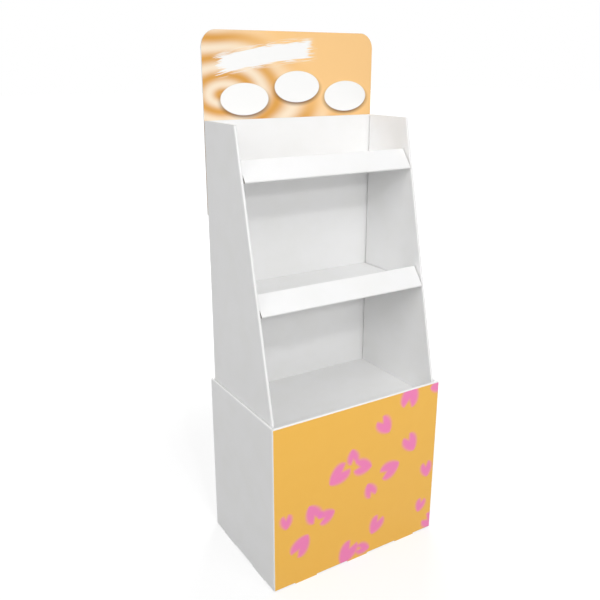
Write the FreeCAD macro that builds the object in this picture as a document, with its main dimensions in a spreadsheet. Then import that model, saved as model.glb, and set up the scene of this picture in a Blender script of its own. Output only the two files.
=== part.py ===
import FreeCAD, Part
import os

import Sketcher

# Cardboard display stand, in millimetres. +Z is up, the front faces -Y, and the origin is on the
# floor, under the middle of the base. Every piece is one folded or flat sheet of corrugated board,
# apart from the two strips of tape behind the header.

SIZES = (
    ("board", 3.0, "thickness of the corrugated board"),
    ("roll_gap", 0.4, "air left between the two plies of a rolled wall"),
    ("crown_flat", 0.1, "flat left along the top of a rolled edge"),
    ("slip_fit", 0.6, "play between pieces that slide into each other"),
    ("base_width", 450.0, "base box, outside, left to right"),
    ("base_depth", 295.0, "base box, outside, front to back"),
    ("base_height", 400.0, "base box, from the bottom panel to the rim"),
    ("mitre_gap", 0.6, "slit between two rolled walls at a corner"),
    ("foot_drop", 3.0, "how far the walls' feet stand below the bottom panel"),
    ("slot_width", 57.0, "width of a lock slot, and of the foot cut free beside it"),
    ("tab_play", 0.5, "play round a lock tab in its slot"),
    ("front_slot_pitch", 142.0, "lock slots along the front and back walls"),
    ("side_slot_pitch", 147.0, "lock slots along the side walls"),
    ("deck_recess", 43.0, "deck surface below the base's rim"),
    ("deck_flange", 60.0, "height of the deck's folded flanges"),
    ("deck_fit", 0.3, "play between the deck's flanges and the base"),
    ("cross_pitch", 146.0, "distance between the two cross supports"),
    ("support_fit", 0.4, "play round the supports and in their slots"),
    ("body_height", 634.0, "body, from the deck to its top edge"),
    ("top_depth", 140.0, "depth of the body's sides at the top"),
    ("side_foot", 18.3, "square foot of the sides, below their sloped front edges"),
    ("flap_stop", 3.5, "gap between an inner flap's end and the back panel"),
    ("middle_top", 266.5, "middle shelf's surface above the deck"),
    ("upper_drop", 104.5, "upper shelf's surface below the body's top edge"),
    ("shelf_end_gap", 1.6, "gap between a shelf's end and the side"),
    ("shelf_back_gap", 0.5, "gap between a shelf's back edge and the back panel"),
    ("fascia_length", 52.0, "fascia, from its bottom fold to its crown"),
    ("fascia_lean", 37.0, "lean of the fascia, degrees from upright"),
    ("shelf_tab_width", 40.0, "width of a shelf's end tab"),
    ("shelf_tab_pitch", 80.0, "distance between the two tabs of one end"),
    ("shelf_tab_play", 0.5, "play round a shelf tab in its slot"),
    ("header_inset", 1.0, "header board's side edges inside the body's sides"),
    ("header_rise", 181.0, "header board, above the body's top edge"),
    ("header_tuck", 200.0, "header board, below the body's top edge"),
    ("header_corner", 34.0, "radius of the header's top corners"),
    ("tape_width", 25.0, "width of a strip of double-sided tape"),
    ("tape_length", 170.0, "length of a strip of double-sided tape"),
    ("tape_thickness", 1.0, "thickness of the foam tape"),
    ("tape_inset", 30.0, "tape's outer edge inside the header's edge"),
)

# Lengths that several pieces share, worked out from the sizes above.
PLIES = "(2 * sizes.board + sizes.roll_gap)"
CROWN = f"({PLIES} / 2 - sizes.crown_flat / 2)"
BASE_X = "(sizes.base_width / 2)"
BASE_Y = "(sizes.base_depth / 2)"
INSIDE_X = f"({BASE_X} - {PLIES})"
INSIDE_Y = f"({BASE_Y} - {PLIES})"
FLOOR_Z = "(sizes.foot_drop + sizes.board)"
RIM_Z = "(sizes.foot_drop + sizes.base_height)"
DECK_Z = f"({RIM_Z} - sizes.deck_recess)"
SUPPORT_HEIGHT = f"({DECK_Z} - sizes.board - {FLOOR_Z})"
BODY_X = f"({INSIDE_X} - sizes.slip_fit)"
BODY_Y = f"({INSIDE_Y} - sizes.slip_fit)"
BAY_X = f"({BODY_X} - {PLIES})"
BAY_BACK = f"({BODY_Y} - sizes.board)"
TOP_FRONT = f"({BODY_Y} - sizes.top_depth)"
SLOPE = f"(({BODY_Y} + {TOP_FRONT}) / (sizes.body_height - sizes.side_foot))"
HEADER_X = f"({BODY_X} - sizes.header_inset)"
SHELF_X = f"({BAY_X} - sizes.shelf_end_gap)"
SHELF_BACK = f"({BAY_BACK} - sizes.shelf_back_gap)"
SIDES = (-1, 1)

doc = FreeCAD.newDocument("display_stand")
sizes = doc.addObject("Spreadsheet::Sheet", "sizes")
for row, (alias, number, note) in enumerate(SIZES, start=1):
    sizes.set(f"A{row}", str(number))
    sizes.set(f"B{row}", note)
    sizes.setAlias(f"A{row}", alias)
doc.recompute()


def value(expression):
    """The number that an expression of the sheet's sizes gives now."""
    return float(sizes.evalExpression(expression))


def slope_y(height):
    """Front edge of a side at a height above the deck, as an expression."""
    return f"({TOP_FRONT} - {SLOPE} * (sizes.body_height - {height}))"


def new_piece(label, x="0", y="0", z="0"):
    """An empty body with its own name, seated by its placement."""
    piece = doc.addObject("PartDesign::Body", label)
    piece.Label = label
    piece.setExpression("Placement.Base.x", x)
    piece.setExpression("Placement.Base.y", y)
    piece.setExpression("Placement.Base.z", z)
    return piece


def outline(piece, name, plane, loops, lift="0"):
    """A sketch of closed straight-sided loops; every corner is a pair of expressions."""
    sketch = piece.newObject("Sketcher::SketchObject", name)
    for feature in piece.Origin.OriginFeatures:
        if feature.Role == plane:
            sketch.AttachmentSupport = [(feature, "")]
    sketch.MapMode = "FlatFace"
    sketch.setExpression("AttachmentOffset.Base.z", lift)
    for corners in loops:
        first = sketch.GeometryCount
        points = [FreeCAD.Vector(value(x), value(y), 0) for x, y in corners]
        for index, point in enumerate(points):
            following = points[(index + 1) % len(points)]
            sketch.addGeometry(Part.LineSegment(point, following), False)
        for index, (x, y) in enumerate(corners):
            line = first + index
            following = first + (index + 1) % len(corners)
            sketch.addConstraint(Sketcher.Constraint("Coincident", line, 2, following, 1))
            for axis, expression in (("X", x), ("Y", y)):
                corner = Sketcher.Constraint(
                    f"Distance{axis}", -1, 1, line, 1, value(expression))
                number = sketch.addConstraint(corner)
                sketch.renameConstraint(number, f"{axis}{line}")
                sketch.setExpression(f"Constraints.{axis}{line}", expression)
    return sketch


def rectangle(x_low, y_low, x_high, y_high):
    return [(x_low, y_low), (x_high, y_low), (x_high, y_high), (x_low, y_high)]


def centred(half_x, half_y):
    return rectangle(f"(-{half_x})", f"(-{half_y})", half_x, half_y)


def extrude(piece, kind, name, sketch, length, both_ways=False, backwards=False):
    """A pad or a pocket of a sketch, along or against its normal, or both ways from it."""
    feature = piece.newObject(f"PartDesign::{kind}", name)
    feature.Profile = sketch
    feature.SideType = "Symmetric" if both_ways else "One side"
    feature.Reversed = backwards
    feature.setExpression("Length", length)
    doc.recompute()
    return feature


def fold(piece, name, radius, chosen):
    """Rounds the edges of the piece's last feature that the test picks."""
    base = piece.Tip
    names = [
        f"Edge{index}" for index, edge in enumerate(base.Shape.Edges, start=1)
        if chosen(edge.Vertexes[0].Point, edge.Vertexes[-1].Point)
    ]
    feature = piece.newObject("PartDesign::Fillet", name)
    feature.Base = (base, names)
    feature.setExpression("Radius", radius)
    doc.recompute()
    return feature


def mirror(piece, name, feature):
    """The same feature on the other side of the stand."""
    pair = piece.newObject("PartDesign::Mirrored", name)
    for plane in piece.Origin.OriginFeatures:
        if plane.Role == "YZ_Plane":
            pair.MirrorPlane = (plane, [""])
    pair.Originals = [feature]
    piece.Tip = pair
    doc.recompute()
    return pair


def same(a, b):
    return abs(a - b) < 1e-4


def upright(start, end):
    return same(start.x, end.x) and same(start.y, end.y)


def level(start, end, height):
    return same(start.z, height) and same(end.z, height)


# Base box: the walls roll over a rounded rim, and the inner plies end in tabs that lock into slots
# of the bottom panel. Each slot frees a short foot at the lower edge of the outer ply beside it.

def slot_places():
    """Centre of each lock slot, the side that it is on, and whether its wall runs along X."""
    for side in SIDES:
        for step in (-1, 0, 1):
            yield f"({step} * sizes.front_slot_pitch)", side, True
        for step in (-0.5, 0.5):
            yield f"({step} * sizes.side_slot_pitch)", side, False


def slot_loops(play, outer_face, inner_face):
    """A rectangle at each lock slot, between two depths behind its wall's outer face."""
    loops = []
    half = f"(sizes.slot_width / 2 - {play})"
    for centre, side, along_x in slot_places():
        wall = BASE_Y if along_x else BASE_X
        outer = f"({side} * ({wall} - {outer_face}))"
        inner = f"({side} * ({wall} - {inner_face}))"
        low, high = f"({centre} - {half})", f"({centre} + {half})"
        if along_x:
            loops.append(rectangle(low, inner, high, outer))
        else:
            loops.append(rectangle(inner, low, outer, high))
    return loops


def mitre_loops(reach):
    """A thin diagonal strip at each corner, from inside the box out to the given reach."""
    shift = "(sizes.mitre_gap / (2 * sqrt(2)))"
    loops = []
    for side_x in SIDES:
        for side_y in SIDES:
            near = (f"({INSIDE_X} - sizes.board)", f"({INSIDE_Y} - sizes.board)")
            far = (f"({BASE_X} + {reach})", f"({BASE_Y} + {reach})")
            corners = []
            for (x, y), sign in ((near, 1), (far, 1), (far, -1), (near, -1)):
                corners.append((
                    f"({side_x} * ({x} + {sign} * {shift}))",
                    f"({side_y} * ({y} - {sign} * {shift}))"))
            loops.append(corners)
    return loops


def make_base_box():
    base = new_piece("base_box", z="sizes.foot_drop")
    sheet = outline(base, "base_footprint", "XY_Plane", [centred(BASE_X, BASE_Y)])
    extrude(base, "Pad", "base_block", sheet, "sizes.base_height")
    rim = value("sizes.base_height")
    fold(
        base, "outer_folds", CROWN,
        lambda start, end: upright(start, end) or level(start, end, rim))
    inside = outline(
        base, "base_inside", "XY_Plane", [centred(INSIDE_X, INSIDE_Y)], "sizes.board")
    extrude(base, "Pocket", "base_hollow", inside, "sizes.base_height", backwards=True)
    reach = value(INSIDE_X)
    fold(
        base, "inner_rim", CROWN,
        lambda start, end: level(start, end, rim) and max(abs(start.x), abs(end.x)) < reach + 0.01)
    ply_x, ply_y = f"({BASE_X} - sizes.board)", f"({BASE_Y} - sizes.board)"
    gap_x, gap_y = f"({ply_x} - sizes.roll_gap)", f"({ply_y} - sizes.roll_gap)"
    between = outline(
        base, "ply_gap", "XY_Plane", [centred(ply_x, ply_y), centred(gap_x, gap_y)], "sizes.board")
    extrude(
        base, "Pocket", "plies_apart", between,
        f"(sizes.base_height - sizes.board - {PLIES} / 2)", backwards=True)
    under = outline(
        base, "inner_ply_edge", "XY_Plane",
        [centred(ply_x, ply_y), centred(INSIDE_X, INSIDE_Y)], "sizes.board")
    extrude(base, "Pocket", "inner_ply_end", under, "sizes.roll_gap", backwards=True)
    slots = outline(
        base, "lock_slots", "XY_Plane",
        slot_loops("0", "sizes.board", f"({PLIES} + sizes.tab_play)"))
    extrude(base, "Pocket", "slots_in_bottom", slots, "sizes.board", backwards=True)
    tabs = outline(
        base, "lock_tabs", "XY_Plane",
        slot_loops("sizes.tab_play", "(sizes.board + sizes.roll_gap)", PLIES))
    extrude(base, "Pad", "tabs_in_slots", tabs, "(sizes.board + 2 * sizes.roll_gap)")
    feet = outline(base, "feet_plan", "XY_Plane", slot_loops("0", "0", "sizes.board"))
    extrude(base, "Pad", "feet", feet, "sizes.foot_drop", backwards=True)
    inner = outline(
        base, "inner_corners", "XY_Plane", mitre_loops("(-sizes.board)"), "sizes.board")
    extrude(base, "Pocket", "inner_plies_apart", inner, "sizes.base_height", backwards=True)
    crown = outline(
        base, "crown_corners", "XY_Plane", mitre_loops("sizes.board"),
        f"(sizes.base_height - {PLIES} / 2)")
    extrude(base, "Pocket", "crowns_apart", crown, PLIES, backwards=True)
    return base


# Supports: one long board and two cross boards, slotted half-way into each other.

def make_support_long():
    support = new_piece("support_long", z=FLOOR_Z)
    half = f"({INSIDE_X} - sizes.deck_fit - sizes.board - sizes.support_fit)"
    middle = f"({SUPPORT_HEIGHT} / 2 - sizes.support_fit)"
    board = [(f"(-{half})", "0"), (half, "0"), (half, SUPPORT_HEIGHT)]
    for side in (1, -1):
        for edge in (1, -1):
            x = f"({side} * sizes.cross_pitch / 2 + {edge} * (sizes.board + sizes.support_fit) / 2)"
            ends = [(x, SUPPORT_HEIGHT), (x, middle)]
            board += ends if edge == 1 else ends[::-1]
    board.append((f"(-{half})", SUPPORT_HEIGHT))
    sheet = outline(support, "long_board", "XZ_Plane", [board])
    extrude(support, "Pad", "long_sheet", sheet, "sizes.board", both_ways=True)
    return support


def make_support_cross(label, side):
    support = new_piece(label, x=f"({side} * sizes.cross_pitch / 2)", z=FLOOR_Z)
    half = f"({INSIDE_Y} - sizes.deck_fit - sizes.board - sizes.support_fit)"
    middle = f"({SUPPORT_HEIGHT} / 2)"
    slot = "((sizes.board + sizes.support_fit) / 2)"
    board = [
        (f"(-{half})", "0"), (f"(-{slot})", "0"), (f"(-{slot})", middle), (slot, middle),
        (slot, "0"), (half, "0"), (half, SUPPORT_HEIGHT), (f"(-{half})", SUPPORT_HEIGHT)]
    sheet = outline(support, "cross_board", "YZ_Plane", [board])
    extrude(support, "Pad", "cross_sheet", sheet, "sizes.board", both_ways=True)
    return support


# Bottom deck: a tray turned over, its flanges folded down inside the base.

def make_bottom_deck():
    deck = new_piece("bottom_deck", z=DECK_Z)
    half_x, half_y = f"({INSIDE_X} - sizes.deck_fit)", f"({INSIDE_Y} - sizes.deck_fit)"
    sheet = outline(deck, "deck_footprint", "XY_Plane", [centred(half_x, half_y)])
    extrude(deck, "Pad", "deck_block", sheet, "sizes.deck_flange", backwards=True)
    fold(deck, "flange_folds", "sizes.board", lambda start, end: level(start, end, 0))
    inner_x, inner_y = f"({half_x} - sizes.board)", f"({half_y} - sizes.board)"
    inside = outline(
        deck, "deck_inside", "XY_Plane", [centred(inner_x, inner_y)], "(-sizes.board)")
    extrude(deck, "Pocket", "deck_hollow", inside, "sizes.deck_flange")
    corners = []
    for side_x in SIDES:
        for side_y in SIDES:
            corners.append(rectangle(
                f"({side_x} * ({inner_x} - sizes.mitre_gap))",
                f"({side_y} * ({inner_y} - sizes.mitre_gap))",
                f"({side_x} * ({half_x} + sizes.board))",
                f"({side_y} * ({half_y} + sizes.board))"))
    notches = outline(deck, "corner_notches", "XY_Plane", corners, "(-sizes.board)")
    extrude(deck, "Pocket", "flanges_apart", notches, "sizes.deck_flange")
    return deck


# Body shell: back panel and two sides, each folded back on itself along its sloped front edge.

def shelf_centre(height):
    """Middle of a shelf's lower ply, front to back, for an underside at the given height."""
    return f"(({slope_y(height)} + {SHELF_BACK}) / 2)"


def tab_spans(height, play):
    """Front and back end of each end tab of a shelf."""
    for side in SIDES:
        centre = f"({shelf_centre(height)} + {side} * sizes.shelf_tab_pitch / 2)"
        half = f"(sizes.shelf_tab_width / 2 + {play})"
        yield f"({centre} - {half})", f"({centre} + {half})"


def make_body_shell(undersides):
    body = new_piece("body_shell", z=DECK_Z)
    tall, foot_top = "sizes.body_height", "sizes.side_foot"
    side_profile = [
        (BODY_Y, foot_top), (BODY_Y, tall), (TOP_FRONT, tall), (f"(-{BODY_Y})", foot_top)]
    sides = outline(body, "side_profile", "YZ_Plane", [side_profile])
    extrude(body, "Pad", "body_block", sides, f"(2 * {BODY_X})", both_ways=True)
    clear = rectangle(f"(-{BAY_X})", f"(-{BASE_Y})", BAY_X, BAY_BACK)
    bay = outline(body, "bay_plan", "XY_Plane", [clear])
    extrude(body, "Pocket", "bay_hollow", bay, f"(2 * {tall})", backwards=True)
    fold(
        body, "front_folds", CROWN,
        lambda start, end: not same(start.y, end.y) and not same(start.z, end.z))
    u_plan = [
        (f"(-{BODY_X})", f"(-{BODY_Y})"), (f"(-{BAY_X})", f"(-{BODY_Y})"),
        (f"(-{BAY_X})", BAY_BACK), (BAY_X, BAY_BACK), (BAY_X, f"(-{BODY_Y})"),
        (BODY_X, f"(-{BODY_Y})"), (BODY_X, BODY_Y), (f"(-{BODY_X})", BODY_Y)]
    foot = outline(body, "foot_plan", "XY_Plane", [u_plan])
    extrude(body, "Pad", "body_foot", foot, foot_top)
    fold(
        body, "back_folds", "sizes.board",
        lambda start, end: upright(start, end) and same(start.y, value(BODY_Y)))
    inset = f"({PLIES} / 2 * sqrt(1 + {SLOPE} ^ 2))"
    below, above = "(-sizes.board)", f"({tall} + sizes.board)"
    gap_profile = [
        (BAY_BACK, below), (BAY_BACK, above), (f"({slope_y(above)} + {inset})", above),
        (f"({inset} - {BODY_Y})", foot_top), (f"(-{BASE_Y})", foot_top), (f"(-{BASE_Y})", below)]
    gap = outline(
        body, "ply_gap_profile", "YZ_Plane", [gap_profile], f"({BAY_X} + sizes.board)")
    apart = extrude(body, "Pocket", "side_plies_apart", gap, "sizes.roll_gap", backwards=True)
    mirror(body, "side_plies_apart_pair", apart)
    stop = f"({BAY_BACK} - sizes.flap_stop)"
    ends = []
    for side in SIDES:
        ends.append(rectangle(
            f"({side} * ({BAY_X} - sizes.board))", stop,
            f"({side} * ({BAY_X} + sizes.board + sizes.roll_gap))", BAY_BACK))
    flap_ends = outline(body, "flap_end_plan", "XY_Plane", ends, below)
    extrude(body, "Pocket", "flaps_stop_short", flap_ends, f"(2 * {tall})", backwards=True)
    openings = []
    for height in undersides:
        for front, back in tab_spans(height, "sizes.shelf_tab_play"):
            openings.append(rectangle(
                front, height, back, f"({height} + sizes.board + sizes.shelf_tab_play)"))
    slots = outline(
        body, "shelf_slots", "YZ_Plane", openings, f"({BAY_X} - sizes.board)")
    slotted = extrude(
        body, "Pocket", "slots_in_flap", slots, "(2 * sizes.board + sizes.roll_gap / 2)",
        backwards=True)
    mirror(body, "slots_in_flap_pair", slotted)
    return body


# Shelves: one sheet each, wrapped into two deck plies and a hollow three-sided front.

def make_shelf(label, height):
    """A shelf whose underside is at the given height above the bottom deck."""
    lean = "sizes.fascia_lean"
    toe_round = f"(sizes.board * (1 / tan((90 - {lean}) / 2) - 1))"
    crown_round = f"(sizes.board * (1 / tan({lean} / 2) - 1))"
    front = f"({slope_y(height)} - {toe_round})"
    reach = f"(sizes.fascia_length + {toe_round} + {crown_round})"
    apex_y = f"({front} + {reach} * sin({lean}))"
    apex_z = f"({reach} * cos({lean}))"
    inner_y = f"({apex_y} - sizes.board)"
    inner_z = f"({apex_z} - sizes.board / tan({lean} / 2))"
    toe_y = f"({front} + sizes.board * (1 + sin({lean})) / cos({lean}))"
    upper_low = "(sizes.board + sizes.roll_gap)"
    section = [
        (SHELF_BACK, "0"), (front, "0"), (apex_y, apex_z), (apex_y, PLIES), (SHELF_BACK, PLIES),
        (SHELF_BACK, upper_low), (inner_y, upper_low), (inner_y, inner_z), (toe_y, "sizes.board"),
        (SHELF_BACK, "sizes.board")]
    shelf = new_piece(label, z=f"({DECK_Z} + {height})")
    wrap = outline(shelf, "wrapped_section", "YZ_Plane", [section])
    extrude(shelf, "Pad", "wrapped_sheet", wrap, f"(2 * {SHELF_X})", both_ways=True)
    folds = [(front, "0"), (apex_y, apex_z), (inner_y, upper_low)]
    places = [(value(y), value(z)) for y, z in folds]

    def at_fold(start, end):
        level_edge = same(start.y, end.y) and same(start.z, end.z)
        return level_edge and any(same(start.y, y) and same(start.z, z) for y, z in places)

    fold(shelf, "sheet_folds", "sizes.board", at_fold)
    tab_x = f"({BAY_X} + sizes.board)"
    plans = []
    for low, high in tab_spans(height, "0"):
        plans.append(rectangle(f"({SHELF_X} - sizes.board)", low, tab_x, high))
    tabs = outline(shelf, "end_tabs", "XY_Plane", plans)
    tab = extrude(shelf, "Pad", "tabs_right", tabs, "sizes.board")
    mirror(shelf, "tabs_left", tab)
    return shelf


# Header: a printed board with rounded top corners, taped behind the back panel.

def make_header_board():
    header = new_piece(
        "header_board", y=f"({BODY_Y} + sizes.tape_thickness)",
        z=f"({DECK_Z} + sizes.body_height - sizes.header_tuck)")
    tall = "(sizes.header_tuck + sizes.header_rise)"
    face = rectangle(f"(-{HEADER_X})", "0", HEADER_X, tall)
    sheet = outline(header, "header_face", "XZ_Plane", [face])
    extrude(header, "Pad", "header_sheet", sheet, "sizes.board", backwards=True)
    top = value(tall)
    fold(
        header, "round_corners", "sizes.header_corner",
        lambda start, end: level(start, end, top) and same(start.x, end.x))
    return header


def make_header_tape(label, side):
    middle = f"({side} * ({HEADER_X} - sizes.tape_inset - sizes.tape_width / 2))"
    tape = new_piece(
        label, x=middle, y=BODY_Y,
        z=f"({DECK_Z} + sizes.body_height - (sizes.header_tuck + sizes.tape_length) / 2)")
    half = "(sizes.tape_width / 2)"
    strip = rectangle(f"(-{half})", "0", half, "sizes.tape_length")
    sheet = outline(tape, "tape_face", "XZ_Plane", [strip])
    extrude(tape, "Pad", "tape_strip", sheet, "sizes.tape_thickness", backwards=True)
    return tape


def check_document(pieces):
    """Stops before anything is written if a feature failed or a piece is no solid."""
    for item in doc.Objects:
        if "Invalid" in item.State or "Error" in item.State:
            raise RuntimeError(f"{item.Label} failed: {item.State}")
    for piece in pieces:
        if piece.Shape.isNull() or not piece.Shape.isValid() or len(piece.Shape.Solids) != 1:
            raise RuntimeError(f"{piece.Label} is not one valid solid")


middle_under = f"(sizes.middle_top - {PLIES})"
upper_under = f"(sizes.body_height - sizes.upper_drop - {PLIES})"
pieces = [
    make_base_box(),
    make_support_long(),
    make_support_cross("support_cross_left", -1),
    make_support_cross("support_cross_right", 1),
    make_bottom_deck(),
    make_body_shell((middle_under, upper_under)),
    make_shelf("middle_shelf", middle_under),
    make_shelf("upper_shelf", upper_under),
    make_header_board(),
    make_header_tape("header_tape_left", -1),
    make_header_tape("header_tape_right", 1),
]
doc.recompute()
check_document(pieces)
os.makedirs("parts", exist_ok=True)
for piece in pieces:
    piece.Shape.exportStep(f"parts/{piece.Label}.step")
    box = piece.Shape.BoundBox
    print(
        f"{piece.Label}: volume {piece.Shape.Volume / 1000:.1f} cm3,"
        f" X {box.XMin:.1f} to {box.XMax:.1f}, Y {box.YMin:.1f} to {box.YMax:.1f},"
        f" Z {box.ZMin:.1f} to {box.ZMax:.1f}")
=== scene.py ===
"""Cardboard display stand: coated board, printed front and header, cut edges and a small studio."""

import math
import random

import bmesh
import bpy
from bpy.props import FloatProperty, FloatVectorProperty, IntProperty, PointerProperty
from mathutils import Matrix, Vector


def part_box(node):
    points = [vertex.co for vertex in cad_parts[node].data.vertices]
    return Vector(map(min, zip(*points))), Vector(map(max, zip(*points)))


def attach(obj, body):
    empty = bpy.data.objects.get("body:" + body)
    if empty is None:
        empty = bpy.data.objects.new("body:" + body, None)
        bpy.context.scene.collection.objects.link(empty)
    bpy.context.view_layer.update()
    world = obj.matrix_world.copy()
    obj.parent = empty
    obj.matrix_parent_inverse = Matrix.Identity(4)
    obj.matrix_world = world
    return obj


bl_info = {
    "name": "Cardboard display stand",
    "version": (1, 0, 0),
    "blender": (4, 5, 0),
    "location": "3D View > Sidebar > Stand",
    "description": "Dresses a corrugated board display stand and sets it in a plain studio",
    "category": "Object",
}

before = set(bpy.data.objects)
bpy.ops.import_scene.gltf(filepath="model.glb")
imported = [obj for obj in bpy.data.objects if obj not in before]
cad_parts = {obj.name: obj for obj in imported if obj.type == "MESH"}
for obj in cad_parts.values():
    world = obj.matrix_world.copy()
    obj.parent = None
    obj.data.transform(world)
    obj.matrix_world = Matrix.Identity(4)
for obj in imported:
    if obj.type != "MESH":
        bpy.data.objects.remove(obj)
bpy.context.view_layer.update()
BASE_LOW, BASE_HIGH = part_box("base_box")
BODY_LOW, BODY_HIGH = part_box("body_shell")
HEADER_LOW, HEADER_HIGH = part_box("header_board")
BOARD = HEADER_HIGH.y - HEADER_LOW.y

UP = (0.0, 0.0, 1.0)
ALONG = (1.0, 0.0, 0.0)

# Each oval of the header: its middle across, and its lift above the lowest one.
OVALS = ((-0.12, 0.0), (0.012, 0.024), (0.143, 0.002))
OVAL_HEIGHT_ABOVE_BODY = 0.042
OVAL_SHADOW_DROP = 0.0045
OVAL_SHADOW_BLUR = 0.013
OVAL_EDGE_BLUR = 0.0016

# Each lamp: its name, the setting with its power, its place and its width.
LAMPS = (
    ("key_lamp", "key_power", (-0.9, -2.8, 2.8), 0.25),
    ("low_lamp", "low_power", (-0.5, -2.8, 1.86), 0.2),
    ("near_lamp", "near_power", (0.0, -1.4, 2.6), 1.0),
    ("knee_lamp", "knee_power", (0.4, -2.6, 0.5), 1.0),
    ("side_lamp", "side_power", (-2.4, -0.8, 1.8), 1.0),
    ("rear_lamp", "rear_power", (2.0, 2.4, 1.9), 1.2),
)
LAMP_AIM = Vector((0.0, 0.0, 0.65))


def screen_colour(red, green, blue):
    """Linear colour from the 0 to 255 levels that a screen shows."""
    levels = []
    for level in (red / 255, green / 255, blue / 255):
        low = level <= 0.04045
        levels.append(level / 12.92 if low else ((level + 0.055) / 1.055) ** 2.4)
    return tuple(levels)


# Settings that a user would change.

def colour_setting(name, description, default):
    return FloatVectorProperty(
        name=name, description=description, subtype="COLOR", size=3, min=0.0, max=1.0, default=default)


def length_setting(name, description, default):
    return FloatProperty(
        name=name, description=description, unit="LENGTH", min=0.0, soft_max=1.0, precision=5,
        default=default)


def lamp_setting(name, description, default):
    return FloatProperty(
        name=name, description=description, subtype="POWER", min=0.0, default=default)


def share_setting(name, description, default):
    return FloatProperty(
        name=name, description=description, subtype="FACTOR", min=0.0, max=1.0, default=default)


class BoardSettings(bpy.types.PropertyGroup):
    """Paper and flutes of the corrugated board."""

    white: colour_setting("White paper", "Coated white liner", screen_colour(245, 245, 245))
    # The darker white is the random cloudy tone of the paper and of its cut fibres; on the base's cut
    # faces it is also painted shade of the flute hollows.
    white_tone_and_cut_shade: colour_setting("White shade", "Cloudy part of the white", screen_colour(243, 243, 242))
    kraft: colour_setting("Kraft paper", "Plain brown liner", screen_colour(190, 150, 108))
    kraft_shade: colour_setting("Kraft shade", "Darker fibres of the kraft", screen_colour(163, 122, 82))
    # The hollow shade is painted shade: this darker colour stands in for the shadow down in the flute
    # hollows of a cut edge, and in the foam's pores.
    hollow_shade: colour_setting("Flute hollows", "Depth between the flutes", screen_colour(196, 193, 187))
    flute_paper: colour_setting("Flute paper", "Cut edge of the paper", screen_colour(240, 239, 235))
    tape: colour_setting("Foam tape", "Side of the double-sided tape", screen_colour(232, 232, 229))
    flute_pitch: length_setting("Flute pitch", "Length of one flute wave", 0.0065)
    paper: length_setting("Paper", "Thickness of one paper at a cut edge", 0.00035)
    proud: length_setting("Proud", "How far the cut papers stand out of the hollows", 0.00025)
    washboard: length_setting("Washboard", "Height of the flutes felt through the paper", 0.000012)
    fibre: length_setting("Fibre", "Height of the paper's grain", 0.000012)
    gloss: share_setting("Roughness", "Roughness of the coated paper", 0.42)
    print_gloss: share_setting("Print roughness", "Roughness of the varnished print", 0.36)
    least_swing: share_setting("Least swing", "Height of the most crushed flute", 0.75)
    crush_seed: IntProperty(name="Crush seed", description="Seed of the crushed flutes", default=7)


class FrontPrintSettings(bpy.types.PropertyGroup):
    """Printed front of the base: a plain ground with scattered petals."""

    ground: colour_setting("Ground", "Orange ground", screen_colour(255, 198, 84))
    ground_shade: colour_setting("Ground shade", "Cloudy part of the ground", screen_colour(253, 194, 79))
    petal: colour_setting("Petal", "Pink of a petal", screen_colour(255, 137, 194))
    overlap: colour_setting("Overlap", "Where two petals cross", screen_colour(255, 126, 211))
    rim_margin: length_setting("Rim margin", "Bare crown above the print", 0.003)
    side_margin: length_setting("Side margin", "Bare strip at the left corner", 0.0022)
    petal_length: length_setting("Petal length", "Longest petal", 0.068)
    petal_width: share_setting("Petal width", "Width of a petal as a share of its length", 0.76)
    petal_blur: length_setting("Petal blur", "Softness of a petal's edge", 0.014)
    petal_gap: length_setting("Petal gap", "Usual distance between petals", 0.062)
    petals: IntProperty(name="Petals", description="Number of petals", default=19, min=0, max=60)
    seed: IntProperty(name="Petal seed", description="Seed of the scatter", default=10)


class HeaderPrintSettings(bpy.types.PropertyGroup):
    """Printed header: ripples that fade into a plain ground, a brushed band and blank ovals."""

    ground: colour_setting("Ground", "Plain orange ground", screen_colour(254, 206, 139))
    ochre: colour_setting("Ochre", "Dark of the ripples", screen_colour(223, 160, 70))
    cream: colour_setting("Cream", "Light of the ripples", screen_colour(253, 233, 206))
    paper_white: colour_setting("Band and ovals", "White of the shapes", screen_colour(253, 253, 252))
    shadow: colour_setting("Shape shadow", "Soft shadow under an oval", screen_colour(104, 60, 18))
    ring_pitch: length_setting("Ring pitch", "Width of the first ripple", 0.034)
    ripple_reach: length_setting("Ripple reach", "Where the ripples have faded", 0.33)
    band_length: length_setting("Band length", "Brushed band, end to end", 0.262)
    band_width: length_setting("Band width", "Brushed band, across", 0.041)
    oval_width: length_setting("Oval width", "Width of an oval", 0.116)
    oval_height: length_setting("Oval height", "Height of an oval", 0.067)


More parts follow.
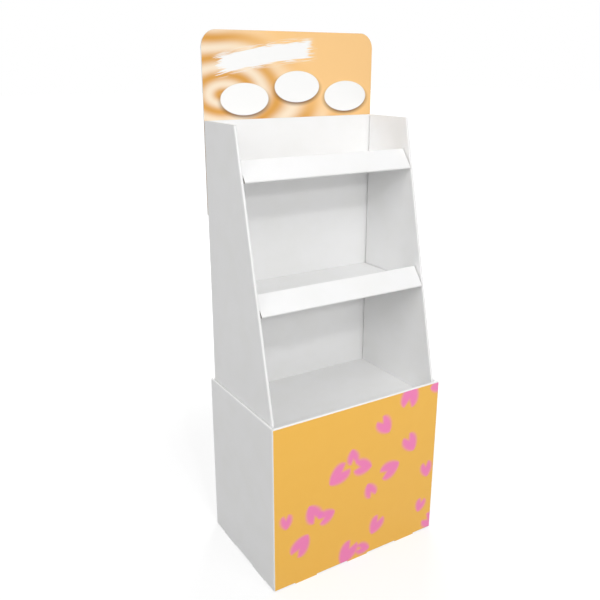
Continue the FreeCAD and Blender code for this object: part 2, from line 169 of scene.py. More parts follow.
class StudioSettings(bpy.types.PropertyGroup):
    """Camera, lamps and floor."""

    camera_place: FloatVectorProperty(
        name="Camera", description="Place of the camera", subtype="TRANSLATION", unit="LENGTH",
        default=(-0.8401, -1.2545, 1.0998))
    camera_turn: FloatProperty(
        name="Turn", description="Camera's turn to the right", subtype="ANGLE", default=0.5518)
    camera_tilt: FloatProperty(
        name="Tilt", description="Camera's tilt down", subtype="ANGLE", default=0.3198)
    lens: FloatProperty(
        name="Lens", description="Focal length", subtype="DISTANCE_CAMERA", default=42.05)
    key_power: lamp_setting("Key lamp", "Lamp high in front, to the left", 19.5)
    low_power: lamp_setting("Low lamp", "Lamp in front, under the key lamp", 12.0)
    near_power: lamp_setting("Near lamp", "Wide lamp over the front, which reaches the decks", 9.0)
    knee_power: lamp_setting("Knee lamp", "Wide lamp in front, near the floor", 6.0)
    side_power: lamp_setting("Side lamp", "Wide lamp on the left", 13.0)
    rear_power: lamp_setting("Rear lamp", "Wide lamp behind, to the right, for the other sides", 40.0)
    room_light: share_setting("Room light", "Even light of the room", 0.64)
    floor: colour_setting("Floor", "Pale floor, which keeps the shadow", (0.38, 0.38, 0.38))
    backdrop: colour_setting("Backdrop", "What the camera sees behind", (1.0, 1.0, 1.0))
    floor_glow: share_setting("Floor glow", "Backdrop's light in the floor, for the camera", 0.66)


# Node trees.

class Nodes:
    """Adds nodes to one tree and joins them by their sockets."""

    def __init__(self, tree):
        self.tree = tree

    def add(self, kind, **settings):
        node = self.tree.nodes.new(kind)
        for name, setting in settings.items():
            setattr(node, name, setting)
        return node

    def feed(self, socket, source):
        """Links a source to a socket, or sets the socket to a plain value."""
        if isinstance(source, bpy.types.NodeSocket):
            self.tree.links.new(source, socket)
        else:
            socket.default_value = source

    def math(self, operation, *values):
        node = self.add("ShaderNodeMath", operation=operation)
        for socket, source in zip(node.inputs, values):
            self.feed(socket, source)
        return node.outputs[0]

    def vector(self, operation, *values, output="Vector"):
        node = self.add("ShaderNodeVectorMath", operation=operation)
        for socket, source in zip(node.inputs, values):
            self.feed(socket, source)
        return node.outputs[output]

    def fade(self, number, start, end):
        """0 at start and 1 at end, eased between them."""
        node = self.add("ShaderNodeMapRange", interpolation_type="SMOOTHSTEP")
        self.feed(node.inputs["Value"], number)
        self.feed(node.inputs["From Min"], start)
        self.feed(node.inputs["From Max"], end)
        return node.outputs["Result"]

    def product(self, *factors):
        """All factors multiplied. For masks, this is where every mask is set."""
        result = factors[0]
        for factor in factors[1:]:
            result = self.math("MULTIPLY", result, factor)
        return result

    def mix(self, share, under, over):
        """A colour between two, by share."""
        node = self.add("ShaderNodeMix", data_type="RGBA")
        colours = [socket for socket in node.inputs if socket.type == "RGBA"]
        self.feed(node.inputs["Factor"], share)
        for socket, colour in zip(colours, (under, over)):
            if not isinstance(colour, bpy.types.NodeSocket):
                colour = (*colour, 1.0)
            self.feed(socket, colour)
        return next(socket for socket in node.outputs if socket.type == "RGBA")

    def noise(self, place, size, detail=2.0):
        """Cloudy noise from 0 to 1, with patches of about the given size."""
        node = self.add("ShaderNodeTexNoise")
        self.feed(node.inputs["Vector"], place)
        node.inputs["Scale"].default_value = 1 / size
        node.inputs["Detail"].default_value = detail
        return node.outputs[0]

    def split(self, vector):
        node = self.add("ShaderNodeSeparateXYZ")
        self.feed(node.inputs[0], vector)
        return node.outputs

    def join(self, x, y, z):
        node = self.add("ShaderNodeCombineXYZ")
        for socket, source in zip(node.inputs, (x, y, z)):
            self.feed(socket, source)
        return node.outputs[0]

    def surface(self):
        """Place of the shaded point and the way its face looks, both in the stand's own frame."""
        source = self.add("ShaderNodeTexCoord")
        return source.outputs["Object"], source.outputs["Normal"]


def new_material(name):
    """An empty material with a Principled shader, and its nodes."""
    material = bpy.data.materials.new(name)
    material.use_nodes = True
    material.node_tree.nodes.clear()
    nodes = Nodes(material.node_tree)
    shader = nodes.add("ShaderNodeBsdfPrincipled")
    output = nodes.add("ShaderNodeOutputMaterial")
    nodes.feed(output.inputs["Surface"], shader.outputs[0])
    return material, nodes, shader


def paper_relief(nodes, place, looks, flutes, board):
    """Height of the paper: its grain, and the flutes that are felt through it."""
    across = nodes.vector("CROSS_PRODUCT", flutes, looks)
    run = nodes.vector("DOT_PRODUCT", place, across, output="Value")
    wave = nodes.math("SINE", nodes.math("MULTIPLY", run, math.tau / board.flute_pitch))
    patch_size, grain_size = 0.11, 0.0022
    patch = nodes.noise(place, patch_size, 1.0)
    ridges = nodes.product(wave, patch, board.washboard)
    grain = nodes.product(nodes.noise(place, grain_size, 4.0), board.fibre)
    return nodes.math("ADD", ridges, grain)


def finish_paper(nodes, shader, colour, relief, place, roughness):
    """Joins colour, bump and an uneven gloss to the shader."""
    nodes.feed(shader.inputs["Base Color"], colour)
    bump = nodes.add("ShaderNodeBump")
    bump.inputs["Strength"].default_value = 1.0
    bump.inputs["Distance"].default_value = 1.0
    nodes.feed(bump.inputs["Height"], relief)
    nodes.feed(shader.inputs["Normal"], bump.outputs[0])
    cloud_size, spread = 0.05, 0.16
    cloud = nodes.noise(place, cloud_size, 3.0)
    gloss = nodes.math("MULTIPLY_ADD", cloud, spread, roughness - spread / 2)
    nodes.feed(shader.inputs["Roughness"], gloss)


def cloudy_white(nodes, place, board):
    """White paper with the faint clouds of its formation."""
    cloud_size = 0.055
    clouds = nodes.noise(place, cloud_size, 4.0)
    return nodes.mix(nodes.fade(clouds, 0.35, 0.72), board.white, board.white_tone_and_cut_shade)


def cut_faces(nodes, looks, flutes):
    """Faces where the flutes are cut across: they look along the flutes."""
    facing = nodes.vector("DOT_PRODUCT", looks, flutes, output="Value")
    return nodes.fade(nodes.math("ABSOLUTE", facing), 0.9, 0.96)


def front_faces(nodes, looks):
    """Faces that look to the front of the stand."""
    _, look_y, _ = nodes.split(looks)
    return nodes.fade(nodes.math("MULTIPLY", look_y, -1.0), 0.5, 0.6)


def white_board(name, flutes, board):
    """Coated white board, with flutes along the given direction."""
    material, nodes, shader = new_material(name)
    place, looks = nodes.surface()
    colour = cloudy_white(nodes, place, board)
    # Cut faces get the hollow colour: painted shade of the flute hollows.
    colour = nodes.mix(cut_faces(nodes, looks, flutes), colour, board.hollow_shade)
    relief = paper_relief(nodes, place, looks, flutes, board)
    finish_paper(nodes, shader, colour, relief, place, board.gloss)
    return material


def kraft_board(board):
    """Uncoated brown board, with long fibres."""
    material, nodes, shader = new_material("kraft_board")
    place, looks = nodes.surface()
    fibre_stretch, fibre_size, roughness = (1.0, 1.0, 0.25), 0.003, 0.8
    fibres = nodes.noise(nodes.vector("MULTIPLY", place, fibre_stretch), fibre_size, 5.0)
    colour = nodes.mix(nodes.fade(fibres, 0.3, 0.7), board.kraft, board.kraft_shade)
    relief = paper_relief(nodes, place, looks, UP, board)
    finish_paper(nodes, shader, colour, relief, place, roughness)
    return material


def foam_tape(board):
    """Closed foam with fine pores."""
    material, nodes, shader = new_material("foam_tape")
    place, _ = nodes.surface()
    pore_size, roughness = 0.0009, 0.7
    pores = nodes.noise(place, pore_size, 3.0)
    # The pores get the hollow colour: painted shade in the pores.
    colour = nodes.mix(nodes.fade(pores, 0.55, 0.75), board.tape, board.hollow_shade)
    relief = nodes.product(pores, 2 * board.fibre)
    finish_paper(nodes, shader, colour, relief, place, roughness)
    return material


def cut_paper(board):
    """The papers' own cut edges, a little rough."""
    material, nodes, shader = new_material("cut_paper")
    place, _ = nodes.surface()
    fray_size, roughness = 0.0016, 0.7
    frays = nodes.noise(place, fray_size, 3.0)
    colour = nodes.mix(frays, board.flute_paper, board.white_tone_and_cut_shade)
    finish_paper(nodes, shader, colour, nodes.product(frays, 2 * board.fibre), place, roughness)
    return material


# Printed front of the base.

def petal_group():
    """One notched petal: 1 inside and 0 outside, with a soft edge."""
    tip_power, top_power = 0.7, 0.42
    notch_floor_place, notch_slope, notch_join = 0.36, 1.15, 0.1
    fall_off = 3.0
    group = bpy.data.node_groups.new("notched_petal", "ShaderNodeTree")
    sockets = group.interface
    sockets.new_socket("Place", in_out="INPUT", socket_type="NodeSocketVector")
    sockets.new_socket("Centre", in_out="INPUT", socket_type="NodeSocketVector")
    sockets.new_socket("Turn", in_out="INPUT", socket_type="NodeSocketVector")
    sockets.new_socket("Half Size", in_out="INPUT", socket_type="NodeSocketVector")
    sockets.new_socket("Blur", in_out="INPUT", socket_type="NodeSocketFloat")
    sockets.new_socket("Petal", in_out="OUTPUT", socket_type="NodeSocketFloat")
    nodes = Nodes(group)
    given = nodes.add("NodeGroupInput").outputs
    own = nodes.add("ShaderNodeMapping", vector_type="TEXTURE")
    nodes.feed(own.inputs["Vector"], given["Place"])
    nodes.feed(own.inputs["Location"], given["Centre"])
    nodes.feed(own.inputs["Rotation"], given["Turn"])
    nodes.feed(own.inputs["Scale"], given["Half Size"])
    along, _, across = nodes.split(own.outputs[0])
    aside = nodes.math("ABSOLUTE", across)
    inside = nodes.math("MINIMUM", nodes.math("MAXIMUM", along, -1.0), 1.0)
    beyond = nodes.math("ABSOLUTE", nodes.math("SUBTRACT", along, inside))
    tip = nodes.math("POWER", nodes.math("ADD", inside, 1.0), tip_power)
    top = nodes.math("POWER", nodes.math("SUBTRACT", 1.0, inside), top_power)
    edge = nodes.product(tip, top)
    body = nodes.math("SUBTRACT", edge, nodes.math("MULTIPLY_ADD", beyond, fall_off, aside))
    notch_floor = nodes.math("SUBTRACT", along, notch_floor_place)
    notch = nodes.math("SUBTRACT", nodes.math("MULTIPLY", aside, notch_slope), notch_floor)
    depth = nodes.math("SMOOTH_MIN", body, notch, notch_join)
    softness = nodes.math("MULTIPLY", given["Blur"], 0.5)
    mask = nodes.fade(depth, nodes.math("MULTIPLY", softness, -1.0), softness)
    output = nodes.add("NodeGroupOutput")
    nodes.feed(output.inputs["Petal"], mask)
    return group


def scatter_petals(front):
    """Centre, turn and half length of each petal, adrift from the right down to the left."""
    most_tries = 4000
    # No petal lies above this height at the left corner, a limit which rises to the right.
    bare_above_left, bare_slope = 0.42, 0.7
    # Gap and half length vary between these shares of the settings.
    least_gap, most_gap = 0.6, 1.5
    least_half, most_half = 0.26, 0.5
    rng = random.Random(front.seed)
    width = BASE_HIGH.x - BASE_LOW.x
    height = BASE_HIGH.z - BASE_LOW.z
    placed = []
    tries = 0
    while len(placed) < front.petals and tries < most_tries:
        tries += 1
        right, up = rng.random(), rng.random()
        if up > bare_above_left + bare_slope * right:
            continue
        x = BASE_LOW.x + width * right
        z = BASE_LOW.z + height * up
        gap = front.petal_gap * rng.uniform(least_gap, most_gap)
        if any(math.hypot(x - a, z - b) < gap for a, b, _, _ in placed):
            continue
        half = front.petal_length * rng.uniform(least_half, most_half)
        placed.append((x, z, rng.uniform(0.0, math.tau), half))
    return placed


def front_print(front, board):
    """White board whose front is printed, from just under the crown to the feet."""
    ink_size = 0.03
    edge_blur, wander_size, wander_reach = 0.0006, 0.012, 0.0006
    material, nodes, shader = new_material("base_print")
    place, looks = nodes.surface()
    x, y, z = nodes.split(place)
    group = petal_group()
    total = None
    for centre_x, centre_z, turn, half in scatter_petals(front):
        petal = nodes.add("ShaderNodeGroup", node_tree=group)
        nodes.feed(petal.inputs["Place"], place)
        petal.inputs["Centre"].default_value = (centre_x, 0.0, centre_z)
        petal.inputs["Turn"].default_value = (0.0, -turn, 0.0)
        half_width = front.petal_width * half
        petal.inputs["Half Size"].default_value = (half, 1.0, half_width)
        petal.inputs["Blur"].default_value = front.petal_blur / half_width
        mask = petal.outputs[0]
        total = mask if total is None else nodes.math("ADD", total, mask)
    ink = nodes.noise(place, ink_size, 3.0)
    ground = nodes.mix(ink, front.ground, front.ground_shade)
    colour = nodes.mix(nodes.math("MINIMUM", total, 1.0), ground, front.petal)
    crossed = nodes.math("MAXIMUM", nodes.math("SUBTRACT", total, 1.0), 0.0)
    colour = nodes.mix(nodes.math("MINIMUM", crossed, 1.0), colour, front.overlap)
    wander = nodes.math("MULTIPLY", nodes.noise(place, wander_size, 2.0), wander_reach)
    top = BASE_HIGH.z - front.rim_margin
    under_rim = nodes.fade(nodes.math("ADD", z, wander), top + edge_blur, top)
    left = BASE_LOW.x + front.side_margin
    past_corner = nodes.fade(nodes.math("ADD", x, wander), left, left + edge_blur)
    outer_ply = nodes.fade(y, BASE_LOW.y + BOARD, BASE_LOW.y + BOARD / 2)
    printed = nodes.product(front_faces(nodes, looks), under_rim, past_corner, outer_ply)
    colour = nodes.mix(printed, cloudy_white(nodes, place, board), colour)
    # The base's cut faces get the darker white: painted shade of the flute hollows.
    colour = nodes.mix(cut_faces(nodes, looks, UP), colour, board.white_tone_and_cut_shade)
    relief = paper_relief(nodes, place, looks, UP, board)
    finish_paper(nodes, shader, colour, relief, place, board.print_gloss)
    return material


# Printed header.

def soft_oval(nodes, across, up, width, height, blur):
    """An oval round the origin of the two coordinates, with a soft edge."""
    x = nodes.math("DIVIDE", across, width / 2)
    z = nodes.math("DIVIDE", up, height / 2)
    reach = nodes.vector("LENGTH", nodes.join(x, 0.0, z), output="Value")
    return nodes.fade(reach, 1 + blur / height, 1 - blur / height)


def ripples(nodes, x, z, header):
    """Colour of the ripples round a low centre, and how much of them is left."""
    centre_x = HEADER_LOW.x + 0.045
    centre_z = BODY_HIGH.z + 0.052
    flatten_x, flatten_z = 0.72, 1.25
    bend_size, bend = 0.16, 0.9
    widening = 0.8
    fade_slant, fade_start = 0.9, 0.45
    across = nodes.math("MULTIPLY", nodes.math("SUBTRACT", x, centre_x), flatten_x)
    up = nodes.math("MULTIPLY", nodes.math("SUBTRACT", z, centre_z), flatten_z)
    reach = nodes.vector("LENGTH", nodes.join(across, 0.0, up), output="Value")
    bent = nodes.math("MULTIPLY", nodes.noise(nodes.join(x, 0.0, z), bend_size, 0.0), bend)
    turns = nodes.math("POWER", nodes.math("DIVIDE", reach, header.ring_pitch), widening)
    angle = nodes.math("MULTIPLY", nodes.math("ADD", turns, bent), math.tau)
    light = nodes.math("MULTIPLY_ADD", nodes.math("SINE", angle), 0.5, 0.5)
    from_left = nodes.math("SUBTRACT", x, HEADER_LOW.x)
    slanted = nodes.math("ADD", from_left, nodes.math("MULTIPLY", up, fade_slant))
    left = nodes.fade(slanted, header.ripple_reach, header.ripple_reach * fade_start)
    return nodes.mix(light, header.ochre, header.cream), left


def brushed_band(nodes, x, z, header):
    """A broad brush stroke, with streaks at both ends and a dry edge along its sides."""
    tilt = math.radians(8.5)
    centre_x, centre_z = HEADER_LOW.x + 0.15, HEADER_HIGH.z - 0.049
    curve = 0.35
    streak_stretch, streak_size = 0.05, 0.0021
    end_rag, end_start, end_blur = 0.075, 0.048, 0.012
    side_rag, side_start, side_blur = 0.011, 0.007, 0.003
    thin, thick, dry_share = 0.46, 0.62, 0.8
    right = nodes.math("SUBTRACT", x, centre_x)
    up = nodes.math("SUBTRACT", z, centre_z)
    along = nodes.math(
        "ADD", nodes.math("MULTIPLY", right, math.cos(tilt)), nodes.math("MULTIPLY", up, math.sin(tilt)))
    straight = nodes.math(
        "SUBTRACT", nodes.math("MULTIPLY", up, math.cos(tilt)),
        nodes.math("MULTIPLY", right, math.sin(tilt)))
    bow = nodes.math("MULTIPLY", nodes.math("POWER", along, 2.0), curve)
    across = nodes.math("ADD", straight, bow)
    drawn_out = nodes.join(nodes.math("MULTIPLY", along, streak_stretch), 0.0, across)
    streak = nodes.noise(drawn_out, streak_size, 3.0)
    from_end = nodes.math("SUBTRACT", header.band_length / 2, nodes.math("ABSOLUTE", along))
    from_side = nodes.math("SUBTRACT", header.band_width / 2, nodes.math("ABSOLUTE", across))
    ragged_end = nodes.math("MULTIPLY_ADD", streak, -end_rag, end_start)
    ragged_side = nodes.math("MULTIPLY_ADD", streak, -side_rag, side_start)
    wet = nodes.product(
        nodes.fade(nodes.math("SUBTRACT", from_end, ragged_end), 0.0, end_blur),
        nodes.fade(nodes.math("SUBTRACT", from_side, ragged_side), 0.0, side_blur))
    bristles = nodes.fade(streak, thin, thick)
    dry = nodes.product(
        bristles, nodes.fade(from_side, -0.009, 0.002), nodes.fade(from_end, -0.004, 0.03), dry_share)
    return nodes.math("MAXIMUM", wet, dry)


def header_print(header, board):
    """White board whose front face is printed all over."""
    material, nodes, shader = new_material("header_print")
    place, looks = nodes.surface()
    x, _, z = nodes.split(place)
    ripple, left = ripples(nodes, x, z, header)
    colour = nodes.mix(left, header.ground, ripple)
    colour = nodes.mix(brushed_band(nodes, x, z, header), colour, header.paper_white)
    width, height = header.oval_width, header.oval_height
    for centre_x, lift in OVALS:
        centre_z = BODY_HIGH.z + OVAL_HEIGHT_ABOVE_BODY + lift
        across = nodes.math("SUBTRACT", x, centre_x)
        up = nodes.math("SUBTRACT", z, centre_z)
        fallen = nodes.math("SUBTRACT", z, centre_z - OVAL_SHADOW_DROP)
        shadow = soft_oval(nodes, across, fallen, width, height, OVAL_SHADOW_BLUR)
        colour = nodes.mix(shadow, colour, header.shadow)
        oval = soft_oval(nodes, across, up, width, height, OVAL_EDGE_BLUR)
        colour = nodes.mix(oval, colour, header.paper_white)
    colour = nodes.mix(front_faces(nodes, looks), cloudy_white(nodes, place, board), colour)
    # Cut faces get the hollow colour: painted shade of the flute hollows.
    colour = nodes.mix(cut_faces(nodes, looks, UP), colour, board.hollow_shade)
    relief = paper_relief(nodes, place, looks, UP, board)
    finish_paper(nodes, shader, colour, relief, place, board.print_gloss)
    return material


def dress(node, material):
    """Gives a carried-over board its finish."""
    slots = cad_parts[node].data.materials
    slots.clear()
    slots.append(material)


# Cut edges: two straight papers with the flute between them.

def paper_strips(name, chains, half_paper, proud):
    """A mesh object of narrow strips along chains of (x, y), which stand up from z = 0."""
    mesh = bpy.data.meshes.new(name)
    shape = bmesh.new()
    for chain in chains:
        rows = []
        for x, y in chain:
            left, right = y - half_paper, y + half_paper
            corners = ((x, left, 0.0), (x, left, proud), (x, right, proud), (x, right, 0.0))
            rows.append([shape.verts.new(corner) for corner in corners])
        for near, far in zip(rows, rows[1:]):
            for corner in range(3):
                shape.faces.new((near[corner], far[corner], far[corner + 1], near[corner + 1]))
    bmesh.ops.recalc_face_normals(shape, faces=shape.faces)
    shape.to_mesh(mesh)
    shape.free()
    strips = bpy.data.objects.new(name, mesh)
    bpy.context.scene.collection.objects.link(strips)
    return strips


def flute_unit(board):
    """One wave of the flute along X, centred on the board's thickness in Y."""
    steps = 12
    swing = BOARD / 2 - 1.5 * board.paper
    places = [board.flute_pitch * (step / steps - 0.5) for step in range(steps + 1)]
    wave = [(x, swing * math.sin(math.tau * x / board.flute_pitch)) for x in places]
    return paper_strips("flute_unit", [wave], board.paper / 2, board.proud)


def liner_unit(board):
    """The two outer papers, as long as one flute."""
    half_pitch = board.flute_pitch / 2
    edge = (BOARD - board.paper) / 2
    liners = [[(-half_pitch, side * edge), (half_pitch, side * edge)] for side in (-1, 1)]
    return paper_strips("liner_unit", liners, board.paper / 2, board.proud)


def edge_path(name, chains):
    """A mesh of open chains along the middles of cut edges, as (places, outward, swing)."""
    mesh = bpy.data.meshes.new(name)
    places = []
    edges = []
    outward = []
    swings = []
    for chain, directions, swing in chains:
        first = len(places)
        places.extend(chain)
        edges.extend((first + index, first + index + 1) for index in range(len(chain) - 1))
        outward.extend(number for direction in directions for number in direction)
        swings.extend([swing] * len(chain))
    mesh.from_pydata(places, edges, [])
    mesh.attributes.new("outward", "FLOAT_VECTOR", "POINT").data.foreach_set("vector", outward)
    mesh.attributes.new("swing", "FLOAT", "POINT").data.foreach_set("value", swings)
    path = bpy.data.objects.new(name, mesh)
    bpy.context.scene.collection.objects.link(path)
    return path


def flute_tree():
    """Sets flutes and outer papers one after the other along a path, facing outward."""
    tree = bpy.data.node_groups.new("cut_edge_flutes", "GeometryNodeTree")
    for name, kind in (
            ("Path", "Geometry"), ("Flute Unit", "Object"), ("Liner Unit", "Object"),
            ("Flute Pitch", "Float"), ("Least Swing", "Float"), ("Seed", "Int"),
            ("Paper", "Material")):
        tree.interface.new_socket(name, in_out="INPUT", socket_type=f"NodeSocket{kind}")
    tree.interface.new_socket("Edges", in_out="OUTPUT", socket_type="NodeSocketGeometry")
    nodes = Nodes(tree)
    given = nodes.add("NodeGroupInput").outputs
    outward = nodes.add("GeometryNodeInputNamedAttribute", data_type="FLOAT_VECTOR")
    outward.inputs["Name"].default_value = "outward"
    swing = nodes.add("GeometryNodeInputNamedAttribute", data_type="FLOAT")
    swing.inputs["Name"].default_value = "swing"
    curve = nodes.add("GeometryNodeMeshToCurve")
    nodes.feed(curve.inputs["Mesh"], given["Path"])
    spaced = nodes.add("GeometryNodeCurveToPoints", mode="LENGTH")
    nodes.feed(spaced.inputs["Curve"], curve.outputs[0])
    nodes.feed(spaced.inputs["Length"], given["Flute Pitch"])
    turn = nodes.add("FunctionNodeAxesToRotation", primary_axis="Z", secondary_axis="X")
    nodes.feed(turn.inputs[0], outward.outputs[0])
    nodes.feed(turn.inputs[1], spaced.outputs["Tangent"])
    crush = nodes.add("FunctionNodeRandomValue", data_type="FLOAT")
    lowest, highest = [socket for socket in crush.inputs if socket.type == "VALUE"][:2]
    nodes.feed(lowest, given["Least Swing"])
    nodes.feed(highest, 1.0)
    nodes.feed(crush.inputs["Seed"], given["Seed"])
    chance = next(socket for socket in crush.outputs if socket.type == "VALUE")
    wave_scale = nodes.join(1.0, nodes.math("MULTIPLY", chance, swing.outputs[0]), 1.0)
    whole = nodes.add("GeometryNodeJoinGeometry")
    for name, scale in (("Flute Unit", wave_scale), ("Liner Unit", (1.0, 1.0, 1.0))):
        unit = nodes.add("GeometryNodeObjectInfo")
        nodes.feed(unit.inputs["Object"], given[name])
        placed = nodes.add("GeometryNodeInstanceOnPoints")
        nodes.feed(placed.inputs["Points"], spaced.outputs["Points"])
        nodes.feed(placed.inputs["Instance"], unit.outputs["Geometry"])
        nodes.feed(placed.inputs["Rotation"], turn.outputs[0])
        nodes.feed(placed.inputs["Scale"], scale)
        nodes.feed(whole.inputs[0], placed.outputs[0])
    real = nodes.add("GeometryNodeRealizeInstances")
    nodes.feed(real.inputs[0], whole.outputs[0])
    painted = nodes.add("GeometryNodeSetMaterial")
    nodes.feed(painted.inputs["Geometry"], real.outputs[0])
    nodes.feed(painted.inputs["Material"], given["Paper"])
    output = nodes.add("NodeGroupOutput")
    nodes.feed(output.inputs["Edges"], painted.outputs[0])
    return tree


def straight_edge(start, end, outward, swing):
    """A cut edge from start to end, which looks outward."""
    return [start, end], [outward, outward], swing


def body_top_edges(pitch):
    """The cut plies along the body's top: back panel, both sides and both inner flaps."""
    top = BODY_HIGH.z
    cut = [v.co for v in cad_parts["body_shell"].data.vertices if v.co.z > top - BOARD / 2]
    front = min(corner.y for corner in cut)
    flap = [c for c in cut if 2 * BOARD < BODY_HIGH.x - abs(c.x) < 3 * BOARD and c.y < BODY_HIGH.y - BOARD]
    flap_end = max(corner.y for corner in flap)
    inside = max(abs(corner.x) for corner in cut) - min(abs(corner.x) for corner in flap)
    middle = BODY_HIGH.y - BOARD / 2
    reach = BODY_HIGH.x - BOARD - pitch / 2
    edges = [straight_edge((-reach, middle, top), (reach, middle, top), UP, 1.0)]
    for side in (-1, 1):
        for depth, end in ((BOARD / 2, BODY_HIGH.y - BOARD), (inside - BOARD / 2, flap_end)):
            x = side * (BODY_HIGH.x - depth)
            start = (x, front + inside / 2 + pitch / 2, top)
            edges.append(straight_edge(start, (x, end - pitch / 2, top), UP, 1.0))
    return edges


def header_edges(pitch):
    """The header's cut edges: waves along the top, round corners and bottom, a web at the sides."""
    middle = (HEADER_LOW.y + HEADER_HIGH.y) / 2
    low, high, side = HEADER_LOW.z, HEADER_HIGH.z, HEADER_HIGH.x
    web_swing = 0.25
    top = [v.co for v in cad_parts["header_board"].data.vertices if v.co.z > high - 1e-5]
    radius = side - max(corner.x for corner in top)
    steps = 12
    outline = []
    outward = []
    for corner_x, first in ((side - radius, 0.0), (radius - side, math.pi / 2)):
        for step in range(steps + 1):
            angle = first + math.pi / 2 * step / steps
            direction = (math.cos(angle), 0.0, math.sin(angle))
            outline.append((
                corner_x + radius * direction[0], middle, high - radius + radius * direction[2]))
            outward.append(direction)
    edges = [(outline, outward, 1.0)]
    reach = side - pitch / 2
    edges.append(straight_edge((-reach, middle, low), (reach, middle, low), (0.0, 0.0, -1.0), 1.0))
    for sign in (-1, 1):
        start = (sign * side, middle, low + pitch / 2)
        end = (sign * side, middle, high - radius - pitch / 2)
        edges.append(straight_edge(start, end, (sign, 0.0, 0.0), web_swing))
    return edges


def plain_mesh(name, source):
    """The evaluated geometry of an object as a new, plain piece of the stand."""
    graph = bpy.context.evaluated_depsgraph_get()
    mesh = bpy.data.meshes.new_from_object(source.evaluated_get(graph))
    mesh.name = name
    piece = bpy.data.objects.new(name, mesh)
    bpy.context.scene.collection.objects.link(piece)
    return piece


class CutEdges(bpy.types.Operator):
    """Lay the cut papers and flutes along the open edges of the body and the header"""

    bl_idname = "stand.cut_edges"
    bl_label = "Cut edges"

    def execute(self, context):
        board = context.scene.stand_board
        tree = flute_tree()
        units = flute_unit(board), liner_unit(board)
        pitch = board.flute_pitch
        path = edge_path("cut_edge_path", body_top_edges(pitch) + header_edges(pitch))
        modifier = path.modifiers.new("flutes", "NODES")
        modifier.node_group = tree
        values = {
            "Flute Unit": units[0], "Liner Unit": units[1], "Flute Pitch": pitch,
            "Least Swing": board.least_swing, "Seed": board.crush_seed, "Paper": cut_paper(board)}
        for socket in tree.interface.items_tree:
            if socket.in_out == "INPUT" and socket.name in values:
                modifier[socket.identifier] = values[socket.name]
        piece = plain_mesh("cut_edges", path)
        path.modifiers.clear()
        for helper in (path, *units):
            bpy.data.objects.remove(helper)
        if not piece.data.polygons:
            raise RuntimeError("the cut edges came out empty")
        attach(piece, "root")
        return {"FINISHED"}


class DressBoards(bpy.types.Operator):
    """Give the body, deck, shelves, supports and tape their papers"""

    bl_idname = "stand.dress_boards"
    bl_label = "Boards"

    def execute(self, context):
        board = context.scene.stand_board
        upright = white_board("white_board_upright", UP, board)
        level = white_board("white_board_level", ALONG, board)
        kraft = kraft_board(board)
        tape = foam_tape(board)
        for node, material in (
                ("body_shell", upright), ("bottom_deck", level), ("middle_shelf", level),
                ("upper_shelf", level), ("support_long", kraft), ("support_cross_left", kraft),
                ("support_cross_right", kraft), ("header_tape_left", tape),
                ("header_tape_right", tape)):
            dress(node, material)
        return {"FINISHED"}


class PrintFront(bpy.types.Operator):
    """Print the front of the base"""

    bl_idname = "stand.print_front"
    bl_label = "Base print"

    def execute(self, context):
        scene = context.scene
        dress("base_box", front_print(scene.stand_front_print, scene.stand_board))
        return {"FINISHED"}


class PrintHeader(bpy.types.Operator):
    """Print the header board"""

    bl_idname = "stand.print_header"
    bl_label = "Header print"

    def execute(self, context):
        scene = context.scene
        dress("header_board", header_print(scene.stand_header_print, scene.stand_board))
        return {"FINISHED"}


class SetStudio(bpy.types.Operator):
    """Set the floor, the lamps and the camera"""

    bl_idname = "stand.set_studio"
    bl_label = "Studio"

    def execute(self, context):
        studio = context.scene.stand_studio
        add_floor(studio)
        light_room(context.scene, studio)
        for name, power, place, size in LAMPS:
            add_lamp(name, place, size, getattr(studio, power))
        add_camera(context.scene, studio)
        return {"FINISHED"}


def camera_eyes(nodes):
    """1 where a ray comes from the camera, a mirror or a clear body."""
    path = nodes.add("ShaderNodeLightPath").outputs
    seen = nodes.math("ADD", path["Is Camera Ray"], path["Is Glossy Ray"])
    return nodes.math("MINIMUM", nodes.math("ADD", seen, path["Is Transmission Ray"]), 1.0)


def add_floor(studio):
    """A wide pale floor that melts into the backdrop and keeps the stand's shadow."""
    reach = 30.0
    glow_start, glow_end = 0.5, 1.8
    mesh = bpy.data.meshes.new("floor")
    corners = [(-reach, -reach, 0.0), (reach, -reach, 0.0), (reach, reach, 0.0), (-reach, reach, 0.0)]
    mesh.from_pydata(corners, [], [(0, 1, 2, 3)])
    floor = bpy.data.objects.new("floor", mesh)
    bpy.context.scene.collection.objects.link(floor)
    material = bpy.data.materials.new("pale_floor")
    material.use_nodes = True
    material.node_tree.nodes.clear()
    nodes = Nodes(material.node_tree)
    place, _ = nodes.surface()
    distance = nodes.vector("LENGTH", place, output="Value")
    ground = nodes.add("ShaderNodeBsdfDiffuse")
    ground.inputs["Color"].default_value = (*studio.floor, 1.0)
    glow = nodes.add("ShaderNodeEmission")
    glow.inputs["Color"].default_value = (*studio.backdrop, 1.0)
    far = nodes.fade(distance, glow_start, glow_end)
    lift = nodes.math("MULTIPLY_ADD", far, 1 - studio.floor_glow, studio.floor_glow)
    nodes.feed(glow.inputs["Strength"], nodes.product(lift, camera_eyes(nodes)))
    blend = nodes.add("ShaderNodeAddShader")
    nodes.feed(blend.inputs[0], ground.outputs[0])
    nodes.feed(blend.inputs[1], glow.outputs[0])
    output = nodes.add("ShaderNodeOutputMaterial")
    nodes.feed(output.inputs["Surface"], blend.outputs[0])
    mesh.materials.append(material)


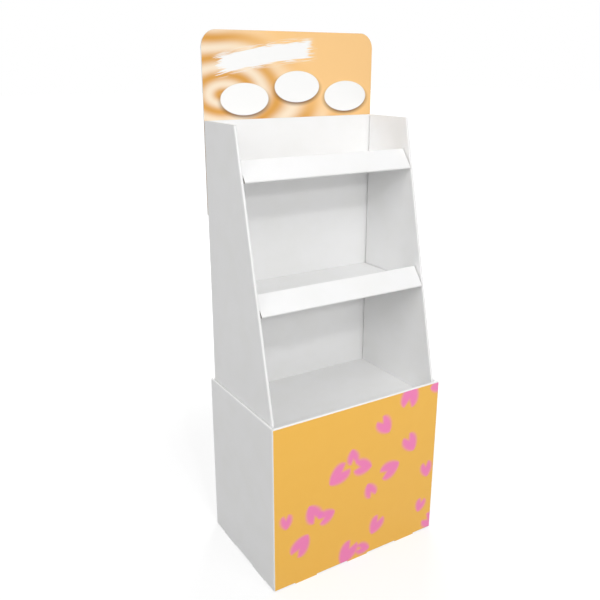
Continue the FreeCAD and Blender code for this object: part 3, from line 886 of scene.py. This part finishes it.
def light_room(scene, studio):
    """Even light from all round, with the backdrop's colour where the camera looks."""
    world = bpy.data.worlds.new("room")
    world.use_nodes = True
    world.node_tree.nodes.clear()
    nodes = Nodes(world.node_tree)
    room = nodes.add("ShaderNodeBackground")
    room.inputs["Strength"].default_value = studio.room_light
    backdrop = nodes.add("ShaderNodeBackground")
    backdrop.inputs["Color"].default_value = (*studio.backdrop, 1.0)
    blend = nodes.add("ShaderNodeMixShader")
    nodes.feed(blend.inputs[0], camera_eyes(nodes))
    nodes.feed(blend.inputs[1], room.outputs[0])
    nodes.feed(blend.inputs[2], backdrop.outputs[0])
    output = nodes.add("ShaderNodeOutputWorld")
    nodes.feed(output.inputs["Surface"], blend.outputs[0])
    scene.world = world


def add_lamp(name, place, size, power):
    """A soft square lamp that looks at the stand's middle."""
    light = bpy.data.lights.new(name, "AREA")
    light.energy = power
    light.size = size
    lamp = bpy.data.objects.new(name, light)
    lamp.location = place
    lamp.rotation_euler = (LAMP_AIM - Vector(place)).to_track_quat("-Z", "Y").to_euler()
    bpy.context.scene.collection.objects.link(lamp)


def add_camera(scene, studio):
    """The photographer's viewpoint, a little above the stand's middle."""
    camera = bpy.data.objects.new("camera", bpy.data.cameras.new("camera"))
    camera.data.lens = studio.lens
    camera.location = studio.camera_place
    camera.rotation_euler = (math.pi / 2 - studio.camera_tilt, 0.0, -studio.camera_turn)
    scene.collection.objects.link(camera)
    scene.camera = camera


GROUPS = (
    ("stand_board", BoardSettings),
    ("stand_front_print", FrontPrintSettings),
    ("stand_header_print", HeaderPrintSettings),
    ("stand_studio", StudioSettings),
)
OPERATORS = (DressBoards, PrintFront, PrintHeader, CutEdges, SetStudio)


class StandPanel(bpy.types.Panel):
    """Buttons and settings of the display stand"""

    bl_idname = "VIEW3D_PT_stand"
    bl_label = "Display stand"
    bl_space_type = "VIEW_3D"
    bl_region_type = "UI"
    bl_category = "Stand"

    def draw(self, context):
        for operator in OPERATORS:
            self.layout.operator(operator.bl_idname)
        for name, group in GROUPS:
            settings = getattr(context.scene, name)
            column = self.layout.column()
            column.label(text=group.__doc__)
            for setting in group.__annotations__:
                column.prop(settings, setting)


def register():
    for name, group in GROUPS:
        bpy.utils.register_class(group)
        setattr(bpy.types.Scene, name, PointerProperty(type=group))
    for part in (*OPERATORS, StandPanel):
        bpy.utils.register_class(part)


def unregister():
    for part in reversed((*OPERATORS, StandPanel)):
        bpy.utils.unregister_class(part)
    for name, group in reversed(GROUPS):
        delattr(bpy.types.Scene, name)
        bpy.utils.unregister_class(group)


def main():
    """Dresses the stand and sets the studio."""
    register()
    bpy.context.scene.view_settings.view_transform = "Standard"
    for operator in OPERATORS:
        group, name = operator.bl_idname.split(".")
        getattr(getattr(bpy.ops, group), name)()


if __name__ == "__main__":
    main()
